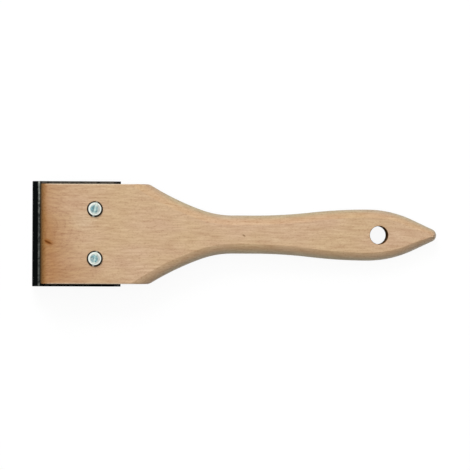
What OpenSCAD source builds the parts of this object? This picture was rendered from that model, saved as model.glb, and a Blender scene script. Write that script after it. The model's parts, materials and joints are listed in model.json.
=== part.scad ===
// Hand scraper: a flat beech handle with a hooked steel blade clamped under its head.
// The pieces are drawn along the handle: X runs back from the front end of the wood,
// Y is across it, and Z is up from the underside of the wood.
// laid_down() then turns them all to the pose in which the tool lies on a table,
// on its cutting edge and the tip of its tail.

/* [Handle] */
// Length of the wood from its front end to the tip of the tail
handle_length = 240.9; // [230:0.1:270]
// Thickness of the wood
handle_thickness = 15; // [12:0.5:18]
// Width of the head
head_width = 60.6; // [56:0.2:63]
// Length of the head's straight sides, up to the shoulders
head_length = 65.8; // [62:0.2:68]
// Angle at which the shoulders draw in from the head's corners
shoulder_angle = 32; // [30:0.5:34]
// Angle at which their slightly hollow line tightens into the neck's curve
hollow_angle = 20; // [18:0.5:23]
// Where the neck starts, behind the front end
neck_station = 116.4; // [114:0.2:119]
// Length of the straight neck
neck_length = 13; // [4:0.5:20]
// Width of the neck
neck_width = 23.2; // [21:0.1:26]
// Where the grip is widest, behind the front end
grip_station = 198.6; // [190:0.2:204]
// Width of the grip at its widest
grip_width = 31.1; // [29:0.1:33]
// Angle of each side of the pointed tail to the middle line
taper_angle = 25; // [23:0.5:27]
// Radius of the tip of the tail
tip_radius = 4; // [2.5:0.1:4.4]

/* [Rounded edges] */
// Width of the rounding on each face at the shoulders
shoulder_rounding = 6.6; // [5:0.1:7]
// Width of the rounding on each face at the tail
tail_rounding = 4.2; // [3:0.1:5]
// How far the rounding of the head's upper front edge reaches
front_rounding = 4.2; // [2:0.1:6]

/* [Hang hole] */
// Diameter of the hang hole
hang_hole_d = 11; // [8:0.5:13]
// Middle of the hang hole, behind the front end
hang_hole_station = 205.2; // [200:0.2:210]

/* [Blade] */
// Width of the blade, and of the clamp plate under it
blade_width = 64; // [62:0.5:70]
// Thickness of the blade
blade_thickness = 2; // [1.5:0.1:2.5]
// How far the blade's outer face stands in front of the wood
blade_reach = 4.4; // [4.1:0.1:6.5]
// How far the blade lies back under the head
blade_seat_length = 45; // [41:0.5:48]
// Depth of the cutting edge below the wood
blade_drop = 18; // [16:0.5:24]
// Inner radius of the bend
bend_radius = 2; // [1.5:0.1:2.4]
// Angle between the ground bevel and the inner face at the cutting edge
bevel_angle = 35; // [28:1:45]

/* [Clamp plate] */
// Length of the clamp plate, from under the front end of the wood
plate_length = 49; // [44:0.5:56]
// Thickness of the clamp plate
plate_thickness = 3; // [2:0.5:4]
// Small chamfer along the plate's lower edges
plate_chamfer = 0.5; // [0.2:0.1:0.8]

/* [Screws] */
// Distance of the two screws from each other
screw_spacing = 30; // [26:0.5:36]
// Distance of the screws behind the front end of the wood
screw_station = 32.4; // [29:0.2:36]
// Diameter of the screw thread
screw_d = 5; // [4.5:0.1:5.4]
// Room between a screw and its hole, all round
hole_clearance = 0.25; // [0.15:0.05:0.4]
// Diameter of the screw head
screw_head_d = 9.5; // [8.5:0.1:10]
// Height of the screw head
screw_head_height = 3; // [2.6:0.1:3.4]
// Height of the head's upright side, below its rounded rim
screw_head_side = 1.2; // [0.8:0.1:1.6]
// Width of the slot
slot_width = 1.2; // [0.8:0.1:1.6]
// Depth of the slot
slot_depth = 1.3; // [0.8:0.1:1.6]
// Turn of the tightened slots, from straight across the handle
slot_turn = 14; // [0:1:45]
// Depth of the shallow seat that a head beds into
seat_depth = 0.8; // [0.4:0.1:1.2]
// Room between a head and the wall of its seat, all round
seat_clearance = 0.3; // [0.2:0.05:0.5]

/* [Washers and nuts] */
// Outside diameter of the washers
washer_d = 10; // [9:0.5:12]
// Thickness of the washers
washer_thickness = 1; // [0.8:0.1:1.4]
// Size of the nuts across their flats
nut_across_flats = 8; // [7.5:0.1:9]
// Height of the nuts
nut_height = 4; // [3.5:0.1:5]
// Play between the thread and the nut, all round
thread_clearance = 0.05; // [0.03:0.01:0.08]
// Length of thread that stands out of the nut
thread_out = 0.8; // [0.5:0.1:2]

/* [Hidden] */
$fn = 72;
cut = 1;

head_half = head_width / 2;
neck_half = neck_width / 2;
grip_half = grip_width / 2;
neck_end = neck_station + neck_length;
mid_height = handle_thickness / 2;

// Two hollow arcs lead from the head's corner to the neck, the first one nearly straight.
// Their radii solve two equations: together they run back to the neck and draw in to it.
shoulder_run = neck_station - head_length;
shoulder_drop = head_half - neck_half;
first_run = sin(shoulder_angle) - sin(hollow_angle);
first_drop = cos(hollow_angle) - cos(shoulder_angle);
second_run = sin(hollow_angle);
second_drop = 1 - cos(hollow_angle);
arcs_apart = first_run * second_drop - second_run * first_drop;
shoulder_radius = (shoulder_run * second_drop - shoulder_drop * second_run) / arcs_apart;
hollow_radius = (shoulder_drop * first_run - shoulder_run * first_drop) / arcs_apart;

// Two equal arcs, one hollow and one full, swell the neck out to the grip.
swell_length = grip_station - neck_end;
swell_height = grip_half - neck_half;
swell_radius = (pow(swell_length, 2) + pow(swell_height, 2)) / (4 * swell_height);
swell_angle = asin(swell_length / (2 * swell_radius));

// One arc turns the grip into the straight side of the tail, which ends in the tip's arc.
tip_centre = handle_length - tip_radius;
tail_radius = (tip_radius + (tip_centre - grip_station) * sin(taper_angle)
    - grip_half * cos(taper_angle)) / (1 - cos(taper_angle));

// Each edge is one arc of this radius and half angle, seen in a cut across the wood.
edge_band = (shoulder_rounding + tail_rounding) / 2;
edge_radius = (pow(edge_band, 2) + pow(mid_height, 2)) / (2 * edge_band);
edge_angle = asin(mid_height / edge_radius);
edge_steps = 12;

// The most of the half width that the rounding may take near the pointed tip
rounding_share = 0.92;

hole_d = screw_d + 2 * hole_clearance;
seat_floor = handle_thickness - seat_depth;
washer_top = -blade_thickness - plate_thickness;
nut_top = washer_top - washer_thickness;
screw_end = nut_top - nut_height - thread_out;
screw_chamfer = 0.5;
nut_chamfer = 0.5;
rim_radius = screw_head_height - screw_head_side;

bend_outer = bend_radius + blade_thickness;
bend_x = bend_outer - blade_reach;
edge_x = blade_thickness - blade_reach;
bevel_height = blade_thickness / tan(bevel_angle);

// A point of the outline is [x, y, x and y of the outward normal].
function on_arc(cx, cy, radius, angle) =
    [cx + radius * sin(angle), cy + radius * cos(angle), sin(angle), cos(angle)];
function in_arc(cx, cy, radius, angle) =
    [cx - radius * sin(angle), cy - radius * cos(angle), sin(angle), cos(angle)];
function steps(from, to, count) = [for (i = [0:count]) from + (to - from) * i / count];

// One side of the outline, from the head's corner to the tip of the tail
side_outline = concat(
    [for (a = steps(shoulder_angle, hollow_angle, 7))
        in_arc(head_length + shoulder_radius * sin(shoulder_angle),
            head_half + shoulder_radius * cos(shoulder_angle), shoulder_radius, a)],
    [for (a = steps(hollow_angle, 0, 8))
        in_arc(neck_station, neck_half + hollow_radius, hollow_radius, a)],
    [for (a = steps(0, -swell_angle, 7))
        in_arc(neck_end, neck_half + swell_radius, swell_radius, a)],
    [for (a = steps(-swell_angle, 0, 7))
        on_arc(grip_station, grip_half - swell_radius, swell_radius, a)],
    [for (a = steps(0, taper_angle, 10))
        on_arc(grip_station, grip_half - tail_radius, tail_radius, a)],
    [for (a = steps(taper_angle, 90, 10)) on_arc(tip_centre, 0, tip_radius, a)]
);

// The rounding narrows evenly from the shoulders to the tail, and more at the tip.
function rounding_at(x) = shoulder_rounding
    + (tail_rounding - shoulder_rounding) * (x - head_length) / (handle_length - head_length);
function room_at(p) = rounding_share * (p[0] < tip_centre ? p[1] / p[3] : tip_radius);
function band_at(p) = min(rounding_at(p[0]), room_at(p));
function drawn_in(p, share) =
    [p[0] - p[2] * band_at(p) * share, p[1] - p[3] * band_at(p) * share];

// The router leaves the head in line with the shoulder, so the corner slides forwards.
function side_at(share) = concat(
    [[0, head_half], [head_length - shoulder_rounding * share / sin(shoulder_angle), head_half]],
    [for (i = [1:len(side_outline) - 1])
        if (norm(side_outline[i] - side_outline[i - 1]) > 0.001)
            drawn_in(side_outline[i], share)]
);

// One closed ring round the wood at a height, as share = 0 at mid height and 1 at a face
function ring_at(angle) =
    let (side = side_at(edge_radius * (1 - cos(angle)) / edge_band),
         z = mid_height + edge_radius * sin(angle),
         last = len(side) - 1)
    [for (i = [0:2 * last]) i <= last ? [side[i][0], side[i][1], z]
        : [side[2 * last - i][0], -side[2 * last - i][1], z]];

rings = [for (a = steps(-edge_angle, edge_angle, edge_steps)) ring_at(a)];
ring_size = len(rings[0]);
handle_points = [for (ring = rings) each ring];

// The pose on the table: the cutting edge and the tail's lower crease lie level.
tail_touch = handle_length - rounding_share * tip_radius;
rest_tilt = atan2(blade_drop, tail_touch - edge_x);
function laid_x(x, z) = x * cos(rest_tilt) + z * sin(rest_tilt);
function laid_z(x, z) = z * cos(rest_tilt) - x * sin(rest_tilt);
front_reach = laid_x(-blade_reach, bevel_height - blade_drop);
tail_reach = max([for (p = handle_points) laid_x(p[0], p[2])]);

module laid_down() {
    translate([-(front_reach + tail_reach) / 2, 0, -laid_z(edge_x, -blade_drop)])
        rotate([0, rest_tilt, 0])
            children();
}

module at_screws() {
    for (side = [-1, 1])
        translate([screw_station, side * screw_spacing / 2, 0])
            children();
}

// The rings joined into one closed surface, with strips across the two flat faces
module handle_blank() {
    top = ring_size * edge_steps;
    middle = (ring_size - 1) / 2;
    polyhedron(points = handle_points, faces = concat(
        [for (level = [0:edge_steps - 1], j = [0:ring_size - 1])
            let (a = level * ring_size + j, b = level * ring_size + (j + 1) % ring_size)
            each [[a, b, b + ring_size], [a, b + ring_size, a + ring_size]]],
        [for (j = [0:middle - 1])
            let (k = ring_size - 1 - j)
            each j < middle - 1
                ? [[top + j, top + j + 1, top + k - 1, top + k], [k, k - 1, j + 1, j]]
                : [[top + j, top + j + 1, top + k], [k, j + 1, j]]]
    ));
}

// What the rounding takes off the head's upper front edge
module front_edge_waste() {
    centre = front_rounding * 1.15;
    radius = norm([centre, centre - front_rounding]);
    difference() {
        translate([-cut, -head_half - cut, handle_thickness - centre])
            cube([centre + cut, head_width + 2 * cut, centre + cut]);
        translate([centre, 0, handle_thickness - centre])
            rotate([90, 0, 0])
                cylinder(r = radius, h = head_width + 4 * cut, center = true);
    }
}

module handle() {
    color("burlywood")
        laid_down()
            difference() {
                handle_blank();
                front_edge_waste();
                translate([hang_hole_station, 0, -cut])
                    cylinder(d = hang_hole_d, h = handle_thickness + 2 * cut);
                at_screws() {
                    translate([0, 0, -cut])
                        cylinder(d = hole_d, h = handle_thickness + 2 * cut);
                    translate([0, 0, seat_floor])
                        cylinder(d = screw_head_d + 2 * seat_clearance, h = seat_depth + cut);
                }
            }
}

// A flat seat under the wood, a quarter turn, and a leg ground to the cutting edge
module scraper_blade() {
    color("darkslategray")
        laid_down()
            difference() {
                union() {
                    translate([bend_x, -blade_width / 2, -blade_thickness])
                        cube([blade_seat_length - bend_x, blade_width, blade_thickness]);
                    translate([bend_x, blade_width / 2, -bend_outer])
                        rotate([90, 0, 0])
                            rotate_extrude(angle = 90, start = 90)
                                translate([bend_radius, 0])
                                    square([blade_thickness, blade_width]);
                    translate([0, blade_width / 2, 0])
                        rotate([90, 0, 0])
                            linear_extrude(height = blade_width)
                                polygon([
                                    [-blade_reach, -bend_outer],
                                    [edge_x, -bend_outer],
                                    [edge_x, -blade_drop],
                                    [-blade_reach, bevel_height - blade_drop]
                                ]);
                }
                at_screws()
                    translate([0, 0, -blade_thickness - cut])
                        cylinder(d = hole_d, h = blade_thickness + 2 * cut);
            }
}

module clamp_plate() {
    bottom = -blade_thickness - plate_thickness;
    color("black")
        laid_down()
            difference() {
                translate([0, blade_width / 2, 0])
                    rotate([90, 0, 0])
                        linear_extrude(height = blade_width)
                            polygon([
                                [0, -blade_thickness],
                                [plate_length, -blade_thickness],
                                [plate_length, bottom + plate_chamfer],
                                [plate_length - plate_chamfer, bottom],
                                [plate_chamfer, bottom],
                                [0, bottom + plate_chamfer]
                            ]);
                at_screws()
                    translate([0, 0, bottom - cut])
                        cylinder(d = hole_d, h = plate_thickness + 2 * cut);
            }
}

// Slotted pan heads: an upright side, a rim rounded over to a flat top, and a slot
module slotted_screw() {
    head_r = screw_head_d / 2;
    difference() {
        translate([0, 0, seat_floor])
            rotate_extrude()
                polygon(concat(
                    [[0, 0], [head_r, 0]],
                    [for (a = steps(0, 90, 6))
                        [head_r - rim_radius * (1 - cos(a)), screw_head_side + rim_radius * sin(a)]],
                    [[0, screw_head_height]]
                ));
        translate([0, 0, seat_floor + screw_head_height - slot_depth / 2 + cut / 2])
            rotate([0, 0, 90 - slot_turn])
                cube([screw_head_d + cut, slot_width, slot_depth + cut], center = true);
    }
    translate([0, 0, screw_end + screw_chamfer])
        cylinder(d = screw_d, h = seat_floor - screw_end - screw_chamfer);
    translate([0, 0, screw_end])
        cylinder(d1 = screw_d - 2 * screw_chamfer, d2 = screw_d, h = screw_chamfer);
}

module slotted_screws() {
    color("silver")
        laid_down()
            at_screws()
                slotted_screw();
}

module washers() {
    color("silver")
        laid_down()
            at_screws()
                translate([0, 0, nut_top])
                    difference() {
                        cylinder(d = washer_d, h = washer_thickness);
                        translate([0, 0, -cut])
                            cylinder(d = hole_d, h = washer_thickness + 2 * cut);
                    }
}

// A six-sided bar, its corners turned off at both ends, with the bore for the thread
module hex_nut() {
    corner_r = nut_across_flats / 2 / cos(30);
    flat_r = nut_across_flats / 2;
    difference() {
        intersection() {
            cylinder(r = corner_r, h = nut_height, $fn = 6);
            rotate_extrude()
                polygon([
                    [0, 0],
                    [flat_r, 0],
                    [corner_r + cut, nut_chamfer * (corner_r + cut - flat_r) / (corner_r - flat_r)],
                    [corner_r + cut, nut_height
                        - nut_chamfer * (corner_r + cut - flat_r) / (corner_r - flat_r)],
                    [flat_r, nut_height],
                    [0, nut_height]
                ]);
        }
        translate([0, 0, -cut])
            cylinder(r = screw_d / 2 + thread_clearance, h = nut_height + 2 * cut);
    }
}

module hex_nuts() {
    color("silver")
        laid_down()
            at_screws()
                translate([0, 0, nut_top - nut_height])
                    hex_nut();
}

handle();
scraper_blade();
clamp_plate();
slotted_screws();
washers();
hex_nuts();
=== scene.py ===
# %% [markdown]
# # A hooked hand scraper, dressed for the camera
#
# The scraper is a flat beech handle with a bent steel blade clamped under its head.
# The imported model already holds every piece at its real size. This lesson gives each
# piece the surface that a hand and an eye would notice: sanded edges, grain, a ground
# bevel, a painted highlight on the bend, and zinc-plated screws with real threads.
# Everything is in metres, in the same frame as the imported model.

import json
import math

import bpy
import numpy as np
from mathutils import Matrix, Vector


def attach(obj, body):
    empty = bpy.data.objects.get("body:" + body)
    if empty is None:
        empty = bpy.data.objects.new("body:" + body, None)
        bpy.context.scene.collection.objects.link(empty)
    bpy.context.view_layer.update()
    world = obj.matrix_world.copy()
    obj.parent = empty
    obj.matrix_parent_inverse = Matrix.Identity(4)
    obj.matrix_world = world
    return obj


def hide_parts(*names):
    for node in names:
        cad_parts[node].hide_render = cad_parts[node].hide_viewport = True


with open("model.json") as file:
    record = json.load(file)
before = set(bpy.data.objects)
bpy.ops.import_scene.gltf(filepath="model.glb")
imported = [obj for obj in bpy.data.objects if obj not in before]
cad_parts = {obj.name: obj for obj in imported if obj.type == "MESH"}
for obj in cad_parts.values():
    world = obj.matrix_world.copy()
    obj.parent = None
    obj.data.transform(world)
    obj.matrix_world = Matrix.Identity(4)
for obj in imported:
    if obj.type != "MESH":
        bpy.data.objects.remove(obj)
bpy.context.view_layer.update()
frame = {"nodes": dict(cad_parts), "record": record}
print("nodes:", sorted(frame["nodes"]))

# %% [markdown]
# ## One frame for drawing
#
# The tool lies on a table, so it leans on its cutting edge and the tip of its tail.
# It is easier to draw it along its own handle: X runs back from the front end of the
# wood, Y is across, and Z is up from the underside of the wood, all in millimetres.
# The hang hole's axis and place in the record fix how that drawing lies in the world.

# %% From the drawing to the world
MM = 0.001
HANDLE_THICKNESS = 15.0
HANG_HOLE_STATION = 205.2

hang_hole = frame["record"]["mounts"][0]
lean = math.atan2(hang_hole["axis"][0], hang_hole["axis"][2])
hole_middle = np.array(hang_hole["pos_m"]) / MM
hole_drawn = np.array([HANG_HOLE_STATION, 0.0, HANDLE_THICKNESS / 2])
turn = np.array([[math.cos(lean), 0, math.sin(lean)], [0, 1, 0], [-math.sin(lean), 0, math.cos(lean)]])


def laid(points):
    """Drawn points in mm, turned about Y by the lean and moved so that the hang hole's
    middle falls on its place in the record. The result is in metres."""
    return ((np.asarray(points, float) - hole_drawn) @ turn.T + hole_middle) * MM


print("lean:", round(math.degrees(lean), 3), "degrees")

# %% [markdown]
# ## Camera
#
# The photograph looks straight down with a long lens. A lens that sees 0.6087 mm of
# the table in each of the picture's 470 pixels gives the same framing, and a quarter
# of a degree of roll puts the handle at the same slight slope.

# %% The camera
PICTURE_SIDE = 470
MM_PER_PIXEL = 0.6087
CAMERA_DISTANCE = 3.0
SENSOR_WIDTH = 36.0
SIGHT_END = 50
PICTURE_ROLL = 0.25
PICTURE_MIDDLE = (0.0006, -0.00028, 0.012)

camera_data = bpy.data.cameras.new("camera")
camera_data.sensor_width = SENSOR_WIDTH
camera_data.lens = SENSOR_WIDTH * CAMERA_DISTANCE / (PICTURE_SIDE * MM_PER_PIXEL * MM)
camera_data.clip_end = SIGHT_END
camera = bpy.data.objects.new("camera", camera_data)
camera.location = Vector(PICTURE_MIDDLE) + Vector((0, 0, CAMERA_DISTANCE))
camera.rotation_euler = (0, 0, math.radians(PICTURE_ROLL))
bpy.context.scene.collection.objects.link(camera)
bpy.context.scene.camera = camera
bpy.context.scene.view_settings.view_transform = "Standard"
print("lens:", round(camera_data.lens), "mm")

# %% [markdown]
# ## Colours and nodes
#
# A colour is written as it looks on a screen and turned into linear light by one
# function. One more function adds a shader node, so that a material reads as a list of
# what it is made of. A node's inputs are listed in the order in which Blender shows
# them. For Map Range these are the value, the two values that it runs between, and the
# two results there.

# %% A colour and a node, as they are written


def colour(text):
    """An sRGB hex colour as linear red, green, blue and alpha. Each channel under 0.04045
    is divided by 12.92, and above that it is shifted, scaled and raised to 2.4."""
    values = [int(text[i : i + 2], 16) / 255 for i in (1, 3, 5)]
    return [v / 12.92 if v < 0.04045 else ((v + 0.055) / 1.055) ** 2.4 for v in values] + [1.0]


def add(tree, kind, inputs=(), **properties):
    """One new shader node of a kind, such as ShaderNodeMath for the kind Math. Its properties
    come first, because they decide which sockets are in use. Inputs are a list in the order
    of those sockets, or a dict by name. A node or a socket is linked, a node by its first
    output in use, and anything else is set as a value."""
    node = tree.nodes.new("ShaderNode" + kind)
    for name, value in properties.items():
        setattr(node, name, value)
    in_use = [socket for socket in node.inputs if socket.enabled]
    for key, value in inputs.items() if isinstance(inputs, dict) else enumerate(inputs):
        socket = node.inputs[key] if isinstance(inputs, dict) else in_use[key]
        if isinstance(value, bpy.types.Node):
            value = next(output for output in value.outputs if output.enabled)
        if isinstance(value, bpy.types.NodeSocket):
            tree.links.new(value, socket)
        else:
            socket.default_value = value
    return node


def material(name):
    """A new material with an empty node tree, ready for add()."""
    made = bpy.data.materials.new(name)
    made.use_nodes = True
    made.node_tree.nodes.clear()
    return made, made.node_tree


# The setting of a Map Range that starts and ends gently.
SMOOTH = {"interpolation_type": "SMOOTHSTEP"}
print("half grey on a screen is", round(colour("#808080")[0], 3), "in linear light")

# %% [markdown]
# ## Table
#
# The photograph's ground is pure white. More light would whiten any table, but it would
# bleach the tool as well. So the paint throws no more light on the tool than a grey
# table does, and only camera, glossy and transmission rays see it shine plain white. A
# faint matt coat under the shine still catches the light, so the ground is darker where
# the tool keeps the light off it.

# %% The table
TABLE_HALF = 12.0
TABLE_SHINE = 0.92

table_mesh = bpy.data.meshes.new("table")
corners = [(x * TABLE_HALF, y * TABLE_HALF, 0) for x, y in ((-1, -1), (1, -1), (1, 1), (-1, 1))]
table_mesh.from_pydata(corners, [], [(0, 1, 2, 3)])
table = bpy.data.objects.new("table", table_mesh)
bpy.context.scene.collection.objects.link(table)

table_paint, tree = material("white_table_matt_paint")
rays = add(tree, "LightPath").outputs
seen = add(tree, "Math", [rays["Is Camera Ray"], rays["Is Glossy Ray"]], operation="MAXIMUM")
seen = add(tree, "Math", [seen, rays["Is Transmission Ray"]], operation="MAXIMUM")
matt = add(tree, "BsdfDiffuse", {"Color": colour("#949494")})
faint = add(tree, "BsdfDiffuse", {"Color": colour("#565656")})
shine = add(tree, "Emission", {"Color": colour("#ffffff"), "Strength": TABLE_SHINE})
white = add(tree, "AddShader", [faint, shine])
shown = add(tree, "MixShader", [seen, matt, white])
# Seen from underneath the table is clear, so that the tool can be looked at from below.
underneath = add(tree, "NewGeometry").outputs["Backfacing"]
clear_table = add(tree, "BsdfTransparent")
shown = add(tree, "MixShader", [underneath, shown, clear_table])
add(tree, "OutputMaterial", {"Surface": shown})
table_mesh.materials.append(table_paint)
print("table:", len(tree.nodes), "nodes")

# %% [markdown]
# ## Light
#
# One lamp on the far side leaves the near edge of the handle in shade, as in the
# photograph. The rest of the light comes from the world: a bright ceiling, and a faint
# glow low down on the far side. A second lamp could stand in for the ceiling, but its
# shadow would have an edge.
# Metal shows what is around it, so glossy rays see a plain white room instead, with a
# dimmer opening overhead that keeps the flat tops of the screws from burning out.

# %% The lamp
LAMP_PLACE = Vector((-0.35, 1.5, 1.75))
LAMP_SIZE = 0.9
LAMP_POWER = 23

lamp = bpy.data.lights.new("key_light", "AREA")
lamp.shape = "SQUARE"
lamp.size = LAMP_SIZE
lamp.energy = LAMP_POWER
key_light = bpy.data.objects.new("key_light", lamp)
key_light.location = LAMP_PLACE
key_light.rotation_euler = (-LAMP_PLACE).to_track_quat("-Z", "Y").to_euler()
key_light.visible_camera = False
key_light.visible_glossy = False
bpy.context.scene.collection.objects.link(key_light)
print("lamp:", round(LAMP_PLACE.length, 2), "m from the tool")

# %% The room
FAR_SIDE = (0.45, 0.89, 0.0)
CEILING_MIDDLE = (0.0, 0.13, 0.991)
OPENING_MIDDLE = (0.15, 0.0, 0.989)

room = bpy.data.worlds.new("room")
room.use_nodes = True
tree = room.node_tree
tree.nodes.clear()
# Each dot product is the cosine of the angle between a ray and the middle of a region.
direction = add(tree, "TexCoord").outputs["Generated"]
sideways = add(tree, "VectorMath", [direction, FAR_SIDE], operation="DOT_PRODUCT")
low = add(tree, "MapRange", [sideways, -0.3, 0.6, 0.0, 0.08], **SMOOTH)
above = add(tree, "VectorMath", [direction, CEILING_MIDDLE], operation="DOT_PRODUCT")
ceiling = add(tree, "MapRange", [above, 0.7, 0.9, low, 1.8], **SMOOTH)
overhead = add(tree, "VectorMath", [direction, OPENING_MIDDLE], operation="DOT_PRODUCT")
opening = add(tree, "MapRange", [overhead, 0.955, 0.985, 1.0, 0.47], **SMOOTH)
rays = add(tree, "LightPath").outputs
mirrored = add(tree, "Mix", [rays["Is Glossy Ray"], ceiling, opening])
plain = add(tree, "Math", [rays["Is Camera Ray"], rays["Is Transmission Ray"]], operation="MAXIMUM")
strength = add(tree, "Mix", [plain, mirrored, 1.0])
glow = add(tree, "Background", {"Color": colour("#ffffff"), "Strength": strength})
add(tree, "OutputWorld", {"Surface": glow})
bpy.context.scene.world = room
print("room:", len(tree.nodes), "nodes")

# %% [markdown]
# ## Surfaces from numbers
#
# Every piece here is a surface with two parameters, worked out as whole arrays: one
# runs along the piece and the other round it. Boxes and cylinders with modifiers would
# be quicker, but these numbers can be checked against the real tool one by one.
# The points lie in rings, and four-sided faces join each ring to the next.

# %% Rings of points become a mesh


def ring_faces(rings, size):
    """Faces between neighbouring rings, whose points are numbered ring by ring. Each face
    joins a point to the next one round its ring and to the same two of the next ring."""
    start = size * np.arange(rings - 1)[:, None]
    here = np.arange(size)[None, :]
    beside = (here + 1) % size
    corners = [start + here, start + beside, start + size + beside, start + size + here]
    return np.stack(corners, -1).reshape(-1, 4)


def mesh_of(name, points, faces):
    """A mesh of drawn points in mm, laid in the world in metres."""
    mesh = bpy.data.meshes.new(name)
    mesh.from_pydata(laid(points).tolist(), [], [list(f) for f in faces])
    mesh.validate()
    return mesh


def tube(name, points, looped=False):
    """A closed solid from rings of points. Neighbouring rings are joined; the first and the
    last are closed by a flat face each, or joined to each other if the tube is looped."""
    rings, size = points.shape[:2]
    if looped:
        faces = ring_faces(rings + 1, size) % (rings * size)
    else:
        ends = [np.arange(size)[::-1], (rings - 1) * size + np.arange(size)]
        faces = [*ring_faces(rings, size), *ends]
    return mesh_of(name, points.reshape(-1, 3), faces)


def turned(name, radii, heights, centre, steps=96, looped=False):
    """A solid of revolution. Each radius and height is swept round an upright axis through
    centre; a radius may also differ from one direction to the next."""
    around = np.linspace(0, 2 * np.pi, steps, endpoint=False)
    radii, heights = [v if v.ndim == 2 else v[:, None] + 0 * around
                      for v in (np.asarray(radii, float), np.asarray(heights, float))]
    x, y = centre[0] + radii * np.cos(around), centre[1] + radii * np.sin(around)
    return tube(name, np.stack([x, y, heights], -1), looped)


print("three rings of four points have", len(ring_faces(3, 4)), "faces between them")

# %% Holes, and a mesh as a finished piece


def cut(mesh, cutters):
    """The mesh with every cutter mesh taken out of it, one Boolean after another."""
    block = bpy.data.objects.new("block", mesh)
    bpy.context.scene.collection.objects.link(block)
    tools = []
    for cutter in cutters:
        tool = bpy.data.objects.new("cutter", cutter)
        bpy.context.scene.collection.objects.link(tool)
        step = block.modifiers.new("cut", "BOOLEAN")
        step.operation = "DIFFERENCE"
        step.solver = "EXACT"
        step.object = tool
        tools.append(tool)
    evaluated = block.evaluated_get(bpy.context.evaluated_depsgraph_get())
    result = bpy.data.meshes.new_from_object(evaluated)
    for spare in [block] + tools:
        bpy.data.objects.remove(spare)
    result.name = mesh.name
    return result


def piece(name, mesh, node, finish, sharp=30):
    """A mesh as a finished piece: smooth but for edges sharper than the given angle, in its
    finish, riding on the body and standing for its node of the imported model."""
    made = bpy.data.objects.new(name, mesh)
    bpy.context.scene.collection.objects.link(made)
    mesh.shade_smooth()
    mesh.set_sharp_from_angle(angle=math.radians(sharp))
    mesh.materials.clear()
    mesh.materials.append(finish)
    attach(made, "root")
    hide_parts(node)
    print(name, len(mesh.vertices), "points,", len(mesh.polygons), "faces")


print("nodes of the model to stand for:", len(frame["nodes"]))

# %% [markdown]
# ## The handle
#
# The real handle is sawn from a 15 mm beech board. A router with a wide rounding cutter
# then runs along both faces, and it leaves a crease where its arc meets the flat. The
# cut starts on the shoulder line, so the crease runs out on the side of the head.
# A Bevel modifier keeps one width all along, but this rounding narrows towards the tail.
# So the handle is one surface: an outline of six arcs that meet smoothly, drawn in ring
# by ring by a profile of three arcs.

# %% The outline of one side
HANDLE_LENGTH = 240.87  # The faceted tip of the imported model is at 240.9 mm; this keeps inside it.
HEAD_WIDTH = 60.6
HEAD_LENGTH = 65.8
NECK_STATION = 116.4
NECK_LENGTH = 13.0
NECK_WIDTH = 23.2
GRIP_STATION = 198.6
GRIP_WIDTH = 31.1
TIP_RADIUS = 4.0
SHOULDER_ANGLE = math.radians(32)
HOLLOW_ANGLE = math.radians(20)
TAPER_ANGLE = math.radians(25)

head_half, neck_half, grip_half = HEAD_WIDTH / 2, NECK_WIDTH / 2, GRIP_WIDTH / 2
tip_centre = HANDLE_LENGTH - TIP_RADIUS


def arc(centre_x, centre_y, radius, angles, side=1):
    """Points on an arc as x, y and outward normal: the centre plus side times radius along
    the normal, where side is 1 on a full curve and -1 on a hollow one."""
    sine, cosine = np.sin(angles), np.cos(angles)
    return np.stack([centre_x + side * radius * sine, centre_y + side * radius * cosine, sine, cosine], -1)


def side_outline():
    """The side from just behind the head's corner to the tip, as six arcs. Each radius comes
    from the rule that neighbouring arcs share their point and their tangent; those of the
    two hollow arcs of the shoulder solve two equations, one for the run and one for the drop."""
    sine, cosine = math.sin(SHOULDER_ANGLE), math.cos(SHOULDER_ANGLE)
    tight_sine, tight_cosine = math.sin(HOLLOW_ANGLE), math.cos(HOLLOW_ANGLE)
    shoulder, hollow = np.linalg.solve(
        [[sine - tight_sine, tight_sine], [tight_cosine - cosine, 1 - tight_cosine]],
        [NECK_STATION - HEAD_LENGTH, head_half - neck_half])
    neck_end = NECK_STATION + NECK_LENGTH
    run, rise = GRIP_STATION - neck_end, grip_half - neck_half
    swell = (run**2 + rise**2) / (4 * rise)
    swell_angle = math.asin(run / (2 * swell))
    tail = TIP_RADIUS + (tip_centre - GRIP_STATION) * math.sin(TAPER_ANGLE)
    tail = (tail - grip_half * math.cos(TAPER_ANGLE)) / (1 - math.cos(TAPER_ANGLE))
    return np.concatenate([
        arc(HEAD_LENGTH + shoulder * sine, head_half + shoulder * cosine, shoulder,
            np.linspace(SHOULDER_ANGLE, HOLLOW_ANGLE, 30)[2:], -1),
        arc(NECK_STATION, neck_half + hollow, hollow, np.linspace(HOLLOW_ANGLE, 0, 30)[1:], -1),
        arc(neck_end, neck_half + swell, swell, np.linspace(0, -swell_angle, 24), -1),
        arc(GRIP_STATION, grip_half - swell, swell, np.linspace(-swell_angle, 0, 20)[1:]),
        arc(GRIP_STATION, grip_half - tail, tail, np.linspace(0, TAPER_ANGLE, 30)[1:]),
        arc(tip_centre, 0, TIP_RADIUS, np.linspace(TAPER_ANGLE, np.pi / 2, 32)),
    ])


outline = side_outline()
print("outline of one side:", len(outline), "points, tip at", outline[-1, 0].round(2))

# %% The profile of the edge
SHOULDER_ROUNDING = 6.45
TAIL_ROUNDING = 4.35
SANDED_CREASE = 0.45
SANDED_EDGE = 0.5
PROFILE_TILTS = (0, math.radians(28), math.radians(76), math.pi / 2)
PROFILE_STEPS = (7, 17, 5)

mid_height = HANDLE_THICKNESS / 2


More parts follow.
